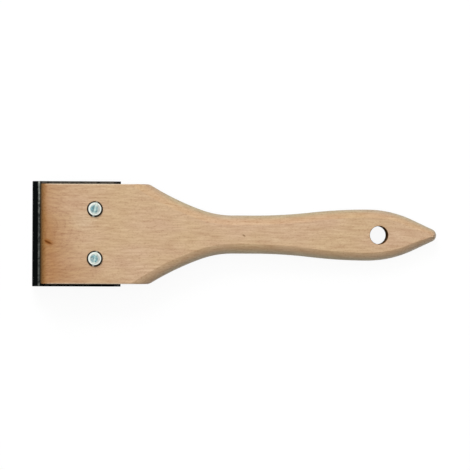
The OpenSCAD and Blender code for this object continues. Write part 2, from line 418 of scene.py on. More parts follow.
def edge_profile():
    """Share of the rounding's width and height above the underside, from one face to the
    other. Going down from the upper face the surface tilts from 0 to 90 degrees through
    three arcs: the sanded crease, the cutter's wide arc and the sanded middle of the edge.
    The last two radii solve two equations, one for the width and one for the height."""
    width = (SHOULDER_ROUNDING + TAIL_ROUNDING) / 2
    total = width + SANDED_CREASE * math.tan(PROFILE_TILTS[1] / 2)
    crease_sine, crease_cosine = math.sin(PROFILE_TILTS[1]), math.cos(PROFILE_TILTS[1])
    middle_sine, middle_cosine = math.sin(PROFILE_TILTS[2]), math.cos(PROFILE_TILTS[2])
    wide, middle = np.linalg.solve(
        [[middle_sine - crease_sine, 1 - middle_sine], [crease_cosine - middle_cosine, middle_cosine]],
        [total - SANDED_CREASE * crease_sine, mid_height - SANDED_CREASE * (1 - crease_cosine)])
    print("cutter radius:", round(wide, 1), "mm, middle of the edge:", round(middle, 1), "mm")
    tilt = np.concatenate([[0]] + [np.linspace(first, last, steps + 1)[1:] for first, last, steps
                                   in zip(PROFILE_TILTS, PROFILE_TILTS[1:], PROFILE_STEPS)])
    radius = np.repeat([SANDED_CREASE, wide, middle], PROFILE_STEPS)
    out = np.concatenate([[0], np.cumsum(radius * np.diff(np.sin(tilt)))])
    down = np.concatenate([[0], np.cumsum(radius * -np.diff(np.cos(tilt)))])
    share = np.concatenate([(total - out), (total - out)[-2::-1]]) / width
    height = HANDLE_THICKNESS - np.concatenate([down, HANDLE_THICKNESS - down[-2::-1]])
    return share[::-1], height[::-1]


share, ring_height = edge_profile()
# The straight edges of the head are only broken with sandpaper: a quarter circle at each face.
past = np.clip(np.abs(ring_height - mid_height) - (mid_height - SANDED_EDGE), 0, SANDED_EDGE)
edge_inset = SANDED_EDGE - np.sqrt(SANDED_EDGE**2 - past**2)
side_y = head_half - edge_inset
print("edge profile:", len(share), "points")

# %% The rounded front end
FRONT_ROUNDING = 4.2
FRONT_REACH = 1.15 * FRONT_ROUNDING

front_drop = FRONT_REACH - FRONT_ROUNDING
front_radius = math.hypot(FRONT_REACH, front_drop)
# Places along X at even angles on the arc that rounds the upper front edge.
front_angles = np.linspace(math.atan2(FRONT_REACH, front_drop), math.asin(front_drop / front_radius), 18)
front_stations = FRONT_REACH - front_radius * np.sin(front_angles)
front_stations = front_stations[front_stations > SANDED_EDGE]


def front_height(x):
    """Height of the upper face over x: the full thickness, but within the rounding the
    height of an arc that meets the front and the upper face a rounding from their edge. Its
    centre is a reach back and a reach down, so it leaves a faint crease on both."""
    back = np.clip(FRONT_REACH - x, 0, FRONT_REACH)
    arc_height = HANDLE_THICKNESS - FRONT_REACH + np.sqrt(front_radius**2 - back**2)
    return np.where(x < FRONT_ROUNDING, np.minimum(arc_height, HANDLE_THICKNESS), HANDLE_THICKNESS)


print("front end:", len(front_stations), "stations, arc radius", round(front_radius, 2), "mm")

# %% One side of every ring
ROUNDING_SHARE = 0.92  # The rounding takes at most this share of the way to the middle line.
LIFT_LENGTH = 6.0
LIFTED_OFF = 0.35
CORNER_REACH = 1.5


def straight_side():
    """The side of the head, as rings by points by x and y: a quarter circle that breaks the
    upright edge of the front, then stations down the rounded upper edge."""
    quarter = np.linspace(0, np.pi / 2, 6)
    start_y = side_y[:, None] - SANDED_EDGE * (1 - np.sin(quarter))
    x = np.concatenate([SANDED_EDGE * (1 - np.cos(quarter)), front_stations])
    y = np.concatenate([start_y, np.repeat(side_y[:, None], len(front_stations), 1)], 1)
    return np.stack([np.broadcast_to(x, y.shape), y], -1)


def head_corner():
    """The corner where the shoulder starts, which slides forwards along the shoulder line as
    the rounding widens. A point before it, the corner and a point past it are weighted by
    the squares and twice the product of 1 - t and t, which makes a short curve."""
    sine, cosine = math.sin(SHOULDER_ANGLE), math.cos(SHOULDER_ANGLE)
    corner_x = HEAD_LENGTH - (SHOULDER_ROUNDING * share - edge_inset * cosine) / sine
    before = np.stack([corner_x - CORNER_REACH, side_y], -1)[:, None]
    corner = np.stack([corner_x, side_y], -1)[:, None]
    after = np.stack([corner_x + CORNER_REACH * cosine, side_y - CORNER_REACH * sine], -1)[:, None]
    t = np.linspace(0, 1, 7)[:, None]
    return before * (1 - t) ** 2 + corner * 2 * (t * (1 - t)) + after * t**2


def routed_side():
    """From the shoulder to the tip: the outline, drawn in along its normals by the rounding's
    width times the ring's share of it."""
    x, y, nx, ny = outline.T
    along = (x - HEAD_LENGTH) / (HANDLE_LENGTH - HEAD_LENGTH)
    width = SHOULDER_ROUNDING + (TAIL_ROUNDING - SHOULDER_ROUNDING) * along
    # On the upper face the cutter is lifted off over the last few millimetres, so the flat runs
    # nearly to the tip. Below, where the tool rests on it, the tip keeps its whole rounding.
    lifted = LIFTED_OFF * np.clip((x - HANDLE_LENGTH) / LIFT_LENGTH + 1, 0, 1) ** 2
    kept = 1 - lifted * (ring_height > mid_height)[:, None]
    room_for_it = ROUNDING_SHARE * np.where(x < tip_centre, y / ny, TIP_RADIUS)
    drawn_in = np.minimum(width, room_for_it) * kept * share[:, None]
    return np.stack([x - nx * drawn_in, y - ny * drawn_in], -1)


one_side = np.concatenate([straight_side(), head_corner(), routed_side()], 1)
print("one side:", one_side.shape[0], "rings,", one_side.shape[1], "points each")

# %% The rings joined


def handle_mesh():
    """Rings from the underside to the upper face, each made of one side and its mirror
    image, joined to each other and closed by strips across both faces."""
    ring = np.concatenate([one_side, one_side[:, -2::-1] * [1, -1]], 1)
    heights = ring_height[:, None] * front_height(ring[..., 0]) / HANDLE_THICKNESS
    points = np.concatenate([ring, heights[..., None]], -1).reshape(-1, 3)
    rings, size = ring.shape[:2]
    last, tip = (rings - 1) * size, one_side.shape[1] - 2
    j = np.arange(tip)
    strips = np.stack([j, j + 1, size - 2 - j, size - 1 - j], -1)
    faces = [*ring_faces(rings, size)[:, ::-1], *strips, (tip, tip + 1, tip + 2)]
    faces += [*(last + strips[:, ::-1]), (last + tip + 2, last + tip + 1, last + tip)]
    return mesh_of("beech_handle", points, faces)


whole_handle = handle_mesh()
print("handle before drilling:", len(whole_handle.polygons), "faces")

# %% Drills for the wood
DRILL_PAST = 2.0
HANG_HOLE_RADIUS = 5.5
HOLE_RIM = 0.4
SCREW_STATION = 32.4
SCREW_SPACING = 30.0
SCREW_HOLE_RADIUS = 2.75
SEAT_DEPTH = 0.8
SEAT_RADIUS = 4.82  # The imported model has 5.05 mm, which would show too wide a dark ring.

seat_floor = HANDLE_THICKNESS - SEAT_DEPTH
screw_centres = [(SCREW_STATION, -SCREW_SPACING / 2), (SCREW_STATION, SCREW_SPACING / 2)]


def hang_hole_drill():
    """A drill with flared ends: its radius grows by a quarter circle of the rim's radius
    where it leaves each face, so the hole gets a sanded rim."""
    a = np.linspace(0, np.pi / 2, 8)
    flare = HANG_HOLE_RADIUS + HOLE_RIM * (1 - np.cos(a))
    rise = mid_height - HOLE_RIM + HOLE_RIM * np.sin(a)
    end = mid_height + DRILL_PAST
    radii = np.concatenate([[flare[-1]], flare[::-1], flare, [flare[-1]]])
    heights = mid_height + np.concatenate([[-end], -rise[::-1], rise, [end]])
    return turned("drill", radii, heights, (HANG_HOLE_STATION, 0))


# Radius and height of the screws' drill: the hole, the seat, its wall, and a slightly worn rim.
seat_profile = np.array([
    (SCREW_HOLE_RADIUS, -DRILL_PAST), (SCREW_HOLE_RADIUS, seat_floor), (SEAT_RADIUS, seat_floor),
    (SEAT_RADIUS, HANDLE_THICKNESS - 0.1), (SEAT_RADIUS + 0.08, HANDLE_THICKNESS - 0.02),
    (SEAT_RADIUS + 0.2, HANDLE_THICKNESS + 1)])
wood_drills = [hang_hole_drill()] + [turned("drill", *seat_profile.T, centre) for centre in screw_centres]
print("drills:", len(wood_drills))

# %% [markdown]
# ## Beech
#
# Bare beech is pale pinkish brown. Its rays end on the flat face as short dark flecks
# that run with the grain, and its growth rings are faint. A picture of a board would be
# quick, but the grain would not go round the edges. So it is built as wood grows: rings
# round a pith, and noise that is stretched along the handle.
# All of it is reckoned in the drawing's millimetres, so it runs along the tool whichever
# way the tool leans. Noise has about one lump to a unit, so the numbers in a Mapping
# node's scale are lumps to the millimetre.

# %% Coordinates of the drawing inside a material


def drawing(tree):
    """The drawing's X, Y and Z in mm for every point of a surface: its object coordinates
    turned back by the lean and moved so that the hang hole falls on its drawn place."""
    place = add(tree, "TexCoord").outputs["Object"]
    moved = tuple(hole_drawn - hole_middle @ turn)
    return add(tree, "Mapping", {"Vector": place, "Location": moved, "Rotation": (0, -lean, 0),
                                 "Scale": (1 / MM,) * 3})


print("object coordinates are turned by", round(-math.degrees(lean), 2), "degrees and scaled by", 1 / MM)


# %% Rings of growth
PITH_ASIDE = 3.6
YEAR_WIDTH = 1.6
WANDER = 14.0
LATE_WOOD_END = 0.92

beech, tree = material("sanded_bare_beech")
place = drawing(tree)
along, across, up = add(tree, "SeparateXYZ", [place]).outputs
# Slow changes of growth, 80 mm long and 30 mm wide, bend the rings a little.
slow = add(tree, "Mapping", {"Vector": place, "Scale": (0.012, 0.035, 0.035)})
slow = add(tree, "TexNoise", {"Vector": slow, "Scale": 1.0, "Detail": 2.0})
# Distance from a pith that runs below the board and dips away from its front.
pith = add(tree, "MapRange", [along, 0.0, 42.0, 5.0, 15.0], **SMOOTH)
depth = add(tree, "Math", [slow, WANDER, pith], operation="MULTIPLY_ADD")
depth = add(tree, "Math", [depth, up], operation="ADD")
aside = add(tree, "Math", [across, PITH_ASIDE], operation="SUBTRACT")
distance = add(tree, "CombineXYZ", [aside, depth])
distance = add(tree, "VectorMath", [distance], operation="LENGTH")
year = add(tree, "Math", [distance, YEAR_WIDTH], operation="DIVIDE")
year = add(tree, "Math", [year], operation="FRACT")
# A year darkens slowly and ends at once. The rings show best near the front.
late = add(tree, "MapRange", [year, 0.35, LATE_WOOD_END], **SMOOTH)
early = add(tree, "MapRange", [year, LATE_WOOD_END, 1.0, 1.0, 0.0])
clear = add(tree, "MapRange", [along, 6.0, 30.0, 1.0, 0.12], **SMOOTH)
ring = add(tree, "Math", [late, early], operation="MULTIPLY")
ring = add(tree, "Math", [ring, clear], operation="MULTIPLY")
print("growth rings:", len(tree.nodes), "nodes")

# %% Flecks, fibres and colour
# Ray flecks are spindles about a millimetre long, and fibres are streaks about 9 mm long.
fleck = add(tree, "Mapping", {"Vector": place, "Scale": (0.95, 1.6, 0.45)})
fleck = add(tree, "TexNoise", {"Vector": fleck, "Scale": 1.0, "Detail": 2.0})
fleck = add(tree, "MapRange", [fleck, 0.50, 0.72], **SMOOTH)
fibre = add(tree, "Mapping", {"Vector": place, "Scale": (0.11, 0.85, 0.85)})
fibre = add(tree, "TexNoise", {"Vector": fibre, "Scale": 1.0, "Detail": 3.0, "Roughness": 0.6})
# The tone is about 1 on average: flecks and rings darken it, fibres darken and lighten it.
tone = add(tree, "MapRange", [fleck, 0.0, 1.0, 1.33, 1.18])
tone = add(tree, "Math", [ring, -0.085, tone], operation="MULTIPLY_ADD")
tone = add(tree, "Math", [fibre, -0.62, tone], operation="MULTIPLY_ADD")
# The hue drifts between yellowish and pinkish patches some centimetres long.
hue = add(tree, "Mapping", {"Vector": place, "Scale": (0.03, 0.075, 0.075)})
hue = add(tree, "TexNoise", {"Vector": hue, "Scale": 1.0, "Detail": 2.0})
hue = add(tree, "MapRange", [hue, 0.35, 0.65])
wood = add(tree, "Mix", [hue, colour("#cdab82"), colour("#ceaa87")], data_type="RGBA")
# Darker places are browner: green follows the tone more than red does, and blue most.
tone = add(tree, "Math", [tone, 1.0], operation="SUBTRACT")
tint = add(tree, "VectorMath", [tone, (1.0, 1.55, 1.85), (1.0, 1.0, 1.0)], operation="MULTIPLY_ADD")
wood = add(tree, "VectorMath", [wood, tint], operation="MULTIPLY")
print("with flecks and fibres:", len(tree.nodes), "nodes")

# %% [markdown]
# ## Oil, dirt, painted shade and painted highlights
#
# Oil from the steel has browned the end that touches the blade, and its last millimetres
# are blackened with grime and with painted shade where the wood meets the blade. Painting
# such places by hand would tie them to a picture, so each is a mask in millimetres that
# multiplies the wood's colour. Sharp edges get a painted highlight, and the rounded edges
# that the hand holds get a painted grey sheen.

# %% The browned front


def from_centre(tree, place, x, y, reach_x=1.0, reach_y=1.0):
    """Distance from an upright line through x and y, counted in reaches: the length of the
    place's X and Y, each less the centre's and divided by its reach."""
    flat = add(tree, "Mapping", {"Vector": place, "Location": (-x / reach_x, -y / reach_y, 0),
                                 "Scale": (1 / reach_x, 1 / reach_y, 0)})
    return add(tree, "VectorMath", [flat], operation="LENGTH")


# The brown fades back from the front over 11 mm, and reaches furthest at the near corner.
brown = add(tree, "Math", [along, -11.0], operation="DIVIDE")
brown = add(tree, "Math", [brown], operation="EXPONENT")
for x, y, reach_x, reach_y, most in ((8, -24, 34, 16, 0.5), (3, -2, 20, 17, 0.42)):
    stain = from_centre(tree, place, x, y, reach_x, reach_y)
    stain = add(tree, "MapRange", [stain, 0.0, 1.3, most, 0.0], **SMOOTH)
    brown = add(tree, "Math", [brown, stain], operation="ADD")
brown = add(tree, "Clamp", [brown])
# A patch in front of the left screw has stayed paler and less yellow.
pale = from_centre(tree, place, 25, 8, 11, 9)
pale = add(tree, "MapRange", [pale, 0.0, 1.0, 1.0, 0.0], **SMOOTH)
# The last millimetres are blackened with oil and dust and with painted shade where the wood
# meets the blade, most of all near the tool's right edge, the near side away from the lamp.
darkest_front_shade = add(tree, "MapRange", [across, -20.0, 25.0, 0.5, 0.33])
front_shade_and_grime = add(tree, "MapRange", [along, -0.3, 5.0, darkest_front_shade, 0.0], **SMOOTH)
# The end grain of the front face has drunk oil, which leaves it a dull grey brown.
end_grain = add(tree, "MapRange", [along, 0.05, 0.6, 1.0, 0.0])
# Browning, the pale patch, the front's painted shade with its grime, and the end grain multiply the colour in
# turn.
for strength, shade in ((brown, (0.73, 0.53, 0.31, 1.0)), (pale, (1.06, 1.13, 1.27, 1.0)),
                        (front_shade_and_grime, (0.26, 0.29, 0.33, 1.0)), (end_grain, (0.80, 0.98, 1.25, 1.0))):
    wood = add(tree, "Mix", [strength, wood, shade], data_type="RGBA", blend_type="MULTIPLY")
print("with the browned front:", len(tree.nodes), "nodes")

# %% Painted highlight and sheen on the edges
# The long upper edges of the head get a pale painted highlight where their sanded edge
# catches the light, but not in the darkened front.
painted_arris_highlight = add(tree, "Math", [across], operation="ABSOLUTE")
painted_arris_highlight = add(tree, "MapRange", [painted_arris_highlight, head_half - 0.75, head_half - 0.35])
on_top = add(tree, "MapRange", [up, HANDLE_THICKNESS - 1.0, HANDLE_THICKNESS - 0.5])
behind = add(tree, "MapRange", [along, 2.0, 6.0])
for mask in (on_top, behind, 0.5):
    painted_arris_highlight = add(tree, "Math", [painted_arris_highlight, mask], operation="MULTIPLY")
wood = add(tree, "Mix", [painted_arris_highlight, wood, colour("#e6d6bd")], data_type="RGBA")
# A painted grey sheen lies on the rounded edges behind the head where they stand out
# furthest, the steep middle of the edge where a grazing reflection of the pale room shows.
off_middle = add(tree, "Math", [up, mid_height], operation="SUBTRACT")
off_middle = add(tree, "Math", [off_middle], operation="ABSOLUTE")
painted_edge_sheen = add(tree, "MapRange", [off_middle, 2.5, 6.0, 1.0, 0.0], **SMOOTH)
past_the_head = add(tree, "MapRange", [along, HEAD_LENGTH, HEAD_LENGTH + 12.0])
painted_edge_sheen = add(tree, "Math", [painted_edge_sheen, past_the_head], operation="MULTIPLY")
wood = add(tree, "Mix", [painted_edge_sheen, wood, (0.94, 1.10, 1.17, 1.0)], data_type="RGBA", blend_type="MULTIPLY")
print("with worn edges:", len(tree.nodes), "nodes")

# %% Marks of growth and bored walls
MARK_DEPTH = 1.5
# Each mark on the upper face is an ellipse: place, half lengths, turn, strength and colour. They
# are a browned patch near the front, the dark streak in it, and a pin knot in the neck.
MARKS = ((3.4, -4.7, 5.5, 2.6, -22, 0.7, "#9c5f28"), (3.7, -4.9, 4.3, 0.95, -26, 0.92, "#6a380c"),
         (122.9, -0.6, 1.4, 0.65, -35, 0.85, "#8f6d4a"))

# Where oil, a mark or bare end grain takes the shine away, soaked is 1.
soaked = add(tree, "MapRange", [along, 0.8, 3.0, 1.0, 0.0])
for x, y, half_long, half_wide, degrees, most, shade in MARKS:
    mark = add(tree, "Mapping", {
        "Vector": place, "Location": (x, y, HANDLE_THICKNESS), "Rotation": (0, 0, math.radians(degrees)),
        "Scale": (half_long, half_wide, MARK_DEPTH)}, vector_type="TEXTURE")
    mark = add(tree, "VectorMath", [mark], operation="LENGTH")
    mark = add(tree, "MapRange", [mark, 0.35, 1.0, most, 0.0], **SMOOTH)
    wood = add(tree, "Mix", [mark, wood, colour(shade)], data_type="RGBA")
    soaked = add(tree, "Math", [soaked, mark], operation="MAXIMUM")

# Bored walls and the seats of the screw heads are dark with end grain, oil and shade.
bores = [(HANG_HOLE_STATION, 0, HANG_HOLE_RADIUS + 0.25, "#8c7a66")]
bores += [(*centre, SEAT_RADIUS + 0.03, "#3a322a") for centre in screw_centres]
for x, y, radius, shade in bores:
    bored = from_centre(tree, place, x, y)
    bored = add(tree, "MapRange", [bored, radius - 0.05, radius + 0.05, 1.0, 0.0])
    wood = add(tree, "Mix", [bored, wood, colour(shade)], data_type="RGBA", blend_type="MULTIPLY")
    soaked = add(tree, "Math", [soaked, bored], operation="MAXIMUM")
print("with marks and bores:", len(tree.nodes), "nodes")

# %% The sheen of sanded wood, and the handle
# Sanding leaves a soft sheen over pores a few hundredths of a millimetre deep. End grain that
# is soaked with oil and dust has no shine at all.
grain = add(tree, "Math", [fleck, fibre], operation="SUBTRACT")
bump = add(tree, "Bump", {"Strength": 0.25, "Distance": 0.03 * MM, "Height": grain})
sanded = add(tree, "BsdfPrincipled", {"Base Color": wood, "Roughness": 0.45, "Normal": bump})
dull_wood = add(tree, "BsdfDiffuse", {"Color": wood, "Normal": bump})
shader = add(tree, "MixShader", [soaked, sanded, dull_wood])
add(tree, "OutputMaterial", {"Surface": shader})
print("beech:", len(tree.nodes), "nodes")
piece("beech_handle", cut(whole_handle, wood_drills), "handle", beech)

# %% [markdown]
# ## The blade
#
# The blade is a strip of spring steel, bent over a former to a hook and ground on the
# outside of its leg. A plane with Solidify and Bevel would round its bend and its
# edges alike. A bend is only a corner with a large radius, so here the whole blade is
# six corners, each with its own radius, carried across from side to side.

# %% Outlines with rounded corners, carried across
ARC_STEPS = 8


def rounded(corners):
    """An outline through corners given as x, z and radius. Each corner becomes an arc of
    its radius that touches both sides; a corner with no radius stays a point."""
    corners = np.asarray(corners, float)
    outline = []
    for before, (x, z, radius), after in zip(np.roll(corners, 1, 0), corners, np.roll(corners, -1, 0)):
        here = np.array([x, z])
        if radius == 0:
            outline.append(here[None])
            continue
        to_before = (before[:2] - here) / np.linalg.norm(before[:2] - here)
        to_after = (after[:2] - here) / np.linalg.norm(after[:2] - here)
        half = math.acos(np.clip(to_before @ to_after, -1, 1)) / 2
        inwards = (to_before + to_after) / np.linalg.norm(to_before + to_after)
        middle = here + inwards * radius / math.sin(half)
        first, last = here + to_before * radius / math.tan(half), here + to_after * radius / math.tan(half)
        angle = math.atan2(first[1] - middle[1], first[0] - middle[0])
        sweep = math.atan2(last[1] - middle[1], last[0] - middle[0]) - angle
        sweep = (sweep + math.pi) % (2 * math.pi) - math.pi
        angles = angle + sweep * np.linspace(0, 1, max(3, round(ARC_STEPS * max(1, radius))))
        outline.append(middle + radius * np.stack([np.cos(angles), np.sin(angles)], -1))
    return np.concatenate(outline)


def carried(name, outline, half_width, edge):
    """An outline in x and z carried across from one side to the other. Near each side it is
    drawn in along its mitred normals by a quarter circle, which breaks the side's edges."""
    ahead = np.roll(outline, -1, 0) - outline
    ahead /= np.linalg.norm(ahead, axis=1)[:, None]
    normal = np.stack([ahead[:, 1], -ahead[:, 0]], -1)
    other = np.roll(normal, 1, 0)
    mitre = (normal + other) / (1 + (normal * other).sum(1))[:, None]
    a = np.linspace(0, np.pi / 2, 6)
    inset = np.concatenate([edge * (1 - np.sin(a)), (edge * (1 - np.sin(a)))[::-1]])
    y = half_width - edge * (1 - np.cos(a))
    y = np.concatenate([y, -y[::-1]])
    flat = outline[None] - mitre[None] * inset[:, None, None]
    points = np.stack([flat[..., 0], np.broadcast_to(y[:, None], flat.shape[:2]), flat[..., 1]], -1)
    return tube(name, points)


def bolt_holes(low, high):
    """A drill for each screw, from a little below low to a little above high."""
    radii, heights = [SCREW_HOLE_RADIUS, SCREW_HOLE_RADIUS], [low - DRILL_PAST, high + DRILL_PAST]
    return [turned("drill", radii, heights, centre) for centre in screw_centres]


triangle = rounded([(0, 0, 1), (5, 0, 0), (0, 5, 0)])
print("a triangle with one corner rounded has", len(triangle), "points")

# %% The hooked outline
BLADE_WIDTH = 64.0
BLADE_THICKNESS = 2.0
BLADE_REACH = 4.4
BLADE_SEAT = 45.0
BLADE_DROP = 18.0
BEND_RADIUS = 2.0
BEVEL_ANGLE = math.radians(35)

bevel_start = BLADE_THICKNESS / math.tan(BEVEL_ANGLE) - BLADE_DROP
inner_face = BLADE_THICKNESS - BLADE_REACH
blade_outline = rounded([
    (BLADE_SEAT, 0, 0.3), (-BLADE_REACH, 0, BEND_RADIUS + BLADE_THICKNESS), (-BLADE_REACH, bevel_start, 0.2),
    (inner_face, -BLADE_DROP, 0), (inner_face, -BLADE_THICKNESS, BEND_RADIUS),
    (BLADE_SEAT, -BLADE_THICKNESS, 0.3)])
print("blade outline:", len(blade_outline), "points, bevel starts at", round(bevel_start, 1), "mm")

# %% [markdown]
# ## Oil-blackened spring steel
#
# Strip that is hardened and quenched in oil keeps a thin black skin. To the eye it is
# nearly soot black with hardly a highlight, so what shows is what lies on it: dust and
# scuffs on the far half of the flat, which also paint that side lighter where the lamp
# falls, and a pale painted highlight along the start of the bend.
# The bevel is ground through the skin to bright metal. Two materials would need a seam
# in the mesh, so one material holds both, and a mask says where the grinding starts.

# %% The black skin
black_oxide, tree = material("oil_blackened_spring_steel")
place = drawing(tree)
along, across, up = add(tree, "SeparateXYZ", [place]).outputs
scuff = add(tree, "Mapping", {"Vector": place, "Scale": (0.35, 0.5, 1.0)})
scuff = add(tree, "TexNoise", {"Vector": scuff, "Scale": 1.0, "Detail": 4.0, "Roughness": 0.65})
# Dust and scuffs lie on the flat that carries the wood, and stop where the bend starts.
# They are kept to the far side, so the flat is painted lighter where the lamp falls and
# stays black on the near side, in the wood's shadow.
dust_and_lit_side = add(tree, "MapRange", [scuff, 0.3, 0.6])
on_flat = add(tree, "MapRange", [along, -0.1, 1.5], **SMOOTH)
lit_far_side = add(tree, "MapRange", [across, -5.0, 20.0])
for mask in (on_flat, lit_far_side):
    dust_and_lit_side = add(tree, "Math", [dust_and_lit_side, mask], operation="MULTIPLY")
skin = add(tree, "Mix", [dust_and_lit_side, colour("#030606"), colour("#55514a")], data_type="RGBA")
# A painted highlight runs 0.88 mm in front of the wood, where the bend starts, and is
# strongest near its left end, on the lit far side.
painted_highlight = add(tree, "Math", [along, 0.88], operation="ADD")
painted_highlight = add(tree, "Math", [painted_highlight], operation="ABSOLUTE")
painted_highlight = add(tree, "MapRange", [painted_highlight, 0.25, 0.8, 1.0, 0.0], **SMOOTH)
left_end = add(tree, "MapRange", [across, 12.0, 27.0, 0.5, 1.3])
highlight_patches = add(tree, "MapRange", [scuff, 0.38, 0.62, 0.2, 0.85])
for mask in (left_end, highlight_patches):
    painted_highlight = add(tree, "Math", [painted_highlight, mask], operation="MULTIPLY")
skin = add(tree, "Mix", [painted_highlight, skin, colour("#a3a79f")], data_type="RGBA")
# The rolled skin is smooth above and duller down the leg.
dull = add(tree, "MapRange", [up, -1.6, -0.5, 0.9, 0.2], **SMOOTH)
skin_shader = add(tree, "BsdfPrincipled", {"Base Color": skin, "Roughness": dull, "Specular IOR Level": 0.03})
print("black skin:", len(tree.nodes), "nodes")

# %% The ground bevel, and the blade
BLADE_EDGE = 0.1

# Grinding leaves bright metal with fine scratches straight up and down it, some 18 to the
# millimetre from a medium wheel.
grind = add(tree, "Mapping", {"Vector": place, "Scale": (0.6, 18.0, 0.6)})
grind = add(tree, "TexNoise", {"Vector": grind, "Scale": 1.0, "Detail": 3.0})
grind_rough = add(tree, "MapRange", [grind, 0.3, 0.7, 0.2, 0.4])
grind_bump = add(tree, "Bump", {"Strength": 0.4, "Distance": 0.01 * MM, "Height": grind})
bright = add(tree, "BsdfPrincipled", {"Base Color": colour("#c8c9c6"), "Metallic": 1.0,
                                      "Roughness": grind_rough, "Normal": grind_bump})
# The bevel is all that lies below its start and outside the leg's inner face.
ground = add(tree, "MapRange", [up, bevel_start - 0.05, bevel_start + 0.05, 1.0, 0.0])
outside = add(tree, "MapRange", [along, inner_face - 0.05, inner_face - 0.02, 1.0, 0.0])
ground = add(tree, "Math", [ground, outside], operation="MULTIPLY")
surface = add(tree, "MixShader", [ground, skin_shader, bright])
add(tree, "OutputMaterial", {"Surface": surface})
print("blackened steel:", len(tree.nodes), "nodes")
blade_mesh = carried("hooked_blade", blade_outline, BLADE_WIDTH / 2, BLADE_EDGE)
piece("hooked_blade", cut(blade_mesh, bolt_holes(-BLADE_THICKNESS, 0)), "scraper_blade",
      black_oxide)

# %% [markdown]
# ## The clamp plate
#
# A plain bar under the blade spreads the pull of the nuts. It is the same kind of
# surface as the blade: an outline with broken corners, carried across. It is sprayed
# black. Such paint is glossier than the blade's skin, and it dries with a faint orange
# peel, which noise gives both to its roughness and to its bump.

# %% Black paint
black_paint, tree = material("black_painted_steel")
peel = add(tree, "TexNoise", {"Vector": drawing(tree), "Scale": 1.2, "Detail": 2.0})
peel_rough = add(tree, "MapRange", [peel, 0.0, 1.0, 0.12, 0.24])
peel_bump = add(tree, "Bump", {"Strength": 0.3, "Distance": 0.02 * MM, "Height": peel})
shader = add(tree, "BsdfPrincipled", {"Base Color": colour("#0b0c0c"), "Roughness": peel_rough,
                                      "Specular IOR Level": 0.3, "Normal": peel_bump})
add(tree, "OutputMaterial", {"Surface": shader})
print("black paint:", len(tree.nodes), "nodes")

# %% The clamp plate
PLATE_LENGTH = 49.0
PLATE_THICKNESS = 3.0
PLATE_CHAMFER = 0.5
PLATE_EDGE = 0.15

plate_top = -BLADE_THICKNESS
plate_bottom = plate_top - PLATE_THICKNESS
plate_outline = rounded([
    (PLATE_LENGTH, plate_top, 0.3), (0, plate_top, 0.3), (0, plate_bottom + PLATE_CHAMFER, 0.25),
    (PLATE_CHAMFER, plate_bottom, 0.25), (PLATE_LENGTH - PLATE_CHAMFER, plate_bottom, 0.25),
    (PLATE_LENGTH, plate_bottom + PLATE_CHAMFER, 0.25)])
plate_mesh = carried("black_clamp_bar", plate_outline, BLADE_WIDTH / 2, PLATE_EDGE)
piece("black_clamp_bar", cut(plate_mesh, bolt_holes(plate_bottom, plate_top)), "clamp_plate",
      black_paint)

# %% [markdown]
# ## Bright zinc plate
#
# Screws, washers and nuts are zinc plated and passivated. That gives the eye a silvery
# metal with blue clouds in it. The blue is kept to the flat top of each head and the rim
# is near white, a painted reflection of the opening overhead and the bright room. The slot
# keeps its duller milled floor, and a ring of painted shade with some grime darkens each
# head where it meets its seat, widest where its shadow falls. Random noise would put these
# anywhere, so only the clouds and their darker blotches are noise, and the rest is
# measured from the axis of the nearer screw.

# %% Heights and slot of the screws
HEAD_RADIUS = 4.75
HEAD_HEIGHT = 3.0
SLOT_WIDTH = 1.2
SLOT_DEPTH = 1.3
SLOT_TURN = 14
WASHER_THICKNESS = 1.0
NUT_HEIGHT = 4.0
THREAD_OUT = 0.8

head_top = seat_floor + HEAD_HEIGHT
nut_top = plate_bottom - WASHER_THICKNESS
nut_bottom = nut_top - NUT_HEIGHT
screw_end = nut_bottom - THREAD_OUT
slot_turn = math.radians(-SLOT_TURN)
slot_across = np.array([math.cos(slot_turn), math.sin(slot_turn)])
slot_along = np.array([-math.sin(slot_turn), math.cos(slot_turn)])
print("screw length under the head:", round(seat_floor - screw_end, 1), "mm")

# %% Blue clouds
zinc, tree = material("bright_zinc_plated_steel")
place = drawing(tree)
along, across, up = add(tree, "SeparateXYZ", [place]).outputs
# The place seen from the nearer screw: Y less half the spacing, with the sign of Y.
near_y = add(tree, "Math", [across], operation="SIGN")
near_y = add(tree, "Math", [near_y, -SCREW_SPACING / 2, across], operation="MULTIPLY_ADD")
around = add(tree, "CombineXYZ", [along, near_y])
around = add(tree, "VectorMath", [around, (SCREW_STATION, 0, 0)], operation="SUBTRACT")
from_axis = add(tree, "VectorMath", [around], operation="LENGTH")
# The slot's floor is as it was milled: duller, and with half the blue.
beside_slot = add(tree, "VectorMath", [around, (*slot_across, 0)], operation="DOT_PRODUCT")
beside_slot = add(tree, "Math", [beside_slot], operation="ABSOLUTE")
between = add(tree, "Math", [beside_slot, SLOT_WIDTH / 2 + 0.02], operation="LESS_THAN")
in_slot = add(tree, "Math", [up, head_top - 0.25], operation="LESS_THAN")
in_slot = add(tree, "Math", [in_slot, between], operation="MULTIPLY")
half_blue = add(tree, "Math", [in_slot, -0.55, 1.0], operation="MULTIPLY_ADD")
# The blue is left in the middle of each head, a little nearer to the front, and the rim
# near white: a painted reflection, blue-grey where the flat top mirrors the opening
# overhead and near white where the rim mirrors the bright room.
off_centre = add(tree, "Math", [along, SCREW_STATION], operation="SUBTRACT")
off_centre = add(tree, "Math", [off_centre, 0.2, from_axis], operation="MULTIPLY_ADD")
painted_reflection_blue = add(tree, "MapRange", [off_centre, 1.8, 2.7, 1.0, 0.0], **SMOOTH)
clouds = add(tree, "TexNoise", {"Vector": place, "Scale": 0.6, "Detail": 1.0})
blue = add(tree, "MapRange", [clouds, 0.35, 0.65, 0.3, 1.0])
